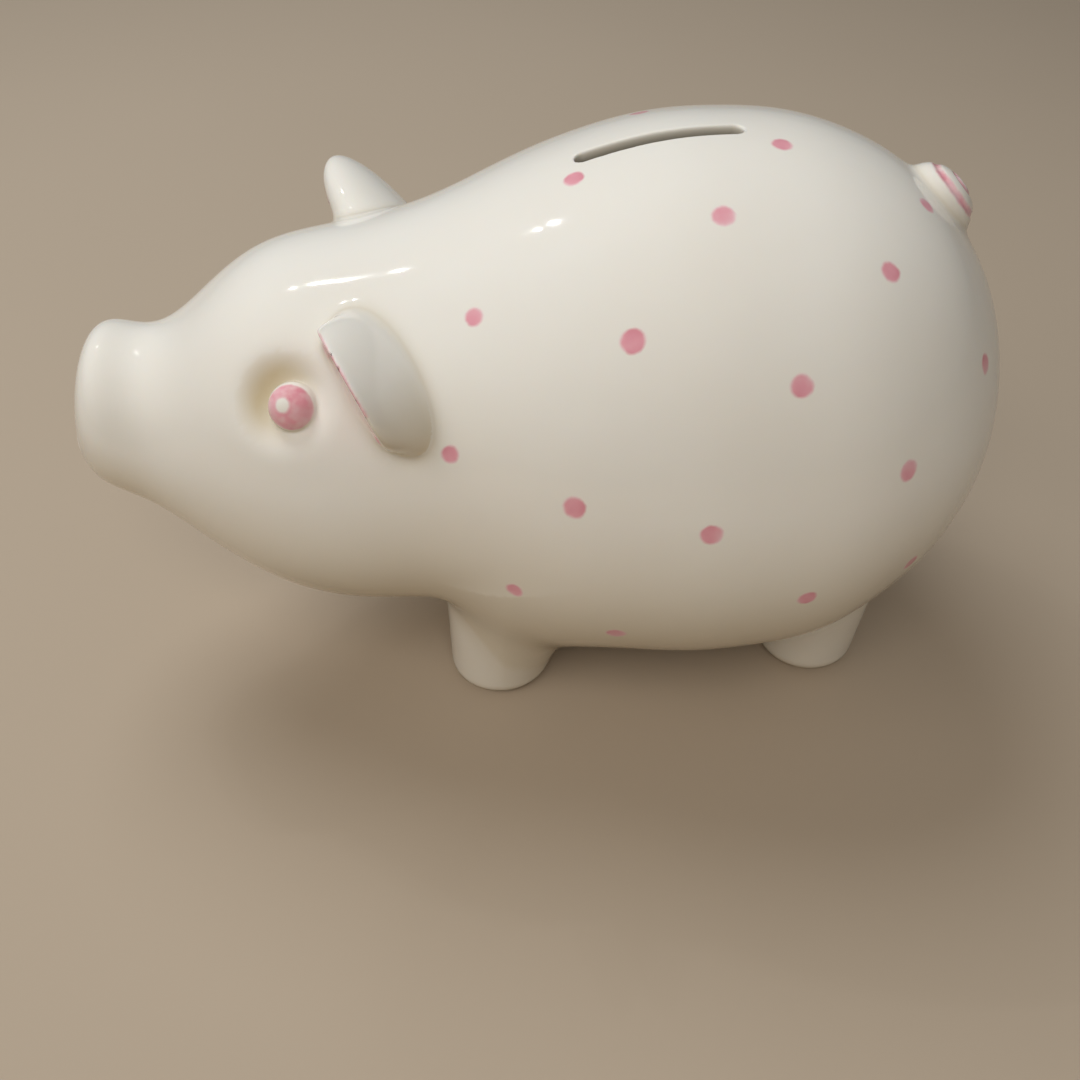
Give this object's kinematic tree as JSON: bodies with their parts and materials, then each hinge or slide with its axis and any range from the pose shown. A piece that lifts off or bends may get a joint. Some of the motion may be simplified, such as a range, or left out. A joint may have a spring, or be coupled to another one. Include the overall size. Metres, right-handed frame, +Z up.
{
  "type": "animal coin bank",
  "caption": "Hollow glazed ceramic pig coin bank with a slot along its back, stub legs, cupped ears, a curled tail and a rubber stopper in its belly.",
  "frame": {"origin": "on the plane of the four soles, under the middle of the body's box", "axes": "+X from snout to rump, -Y to the pig's own left side, +Z up"},
  "size_m": [0.235, 0.1402, 0.1519],
  "materials": {
    "cream_glaze": "clear gloss glaze over cream-white earthenware, hand-painted pink dots",
    "eye_glaze": "pink underglaze under a clear gloss glaze, bare cream pupil",
    "stopper_rubber": "matt moulded rubber"
  },
  "bodies": {
    "bank": {"body_shell": "cream_glaze", "left_ear": "cream_glaze", "right_ear": "cream_glaze", "left_eye": "eye_glaze", "right_eye": "eye_glaze", "tail": "cream_glaze", "front_left_leg": "cream_glaze", "front_right_leg": "cream_glaze", "rear_left_leg": "cream_glaze", "rear_right_leg": "cream_glaze"},
    "stopper": {"stopper": "stopper_rubber"}
  },
  "joints": [
    {"name": "stopper_pull", "type": "slide", "parent": "bank", "child": "stopper", "axis": [0, 0, -1], "range_m": [0, 0.018]}
  ]
}
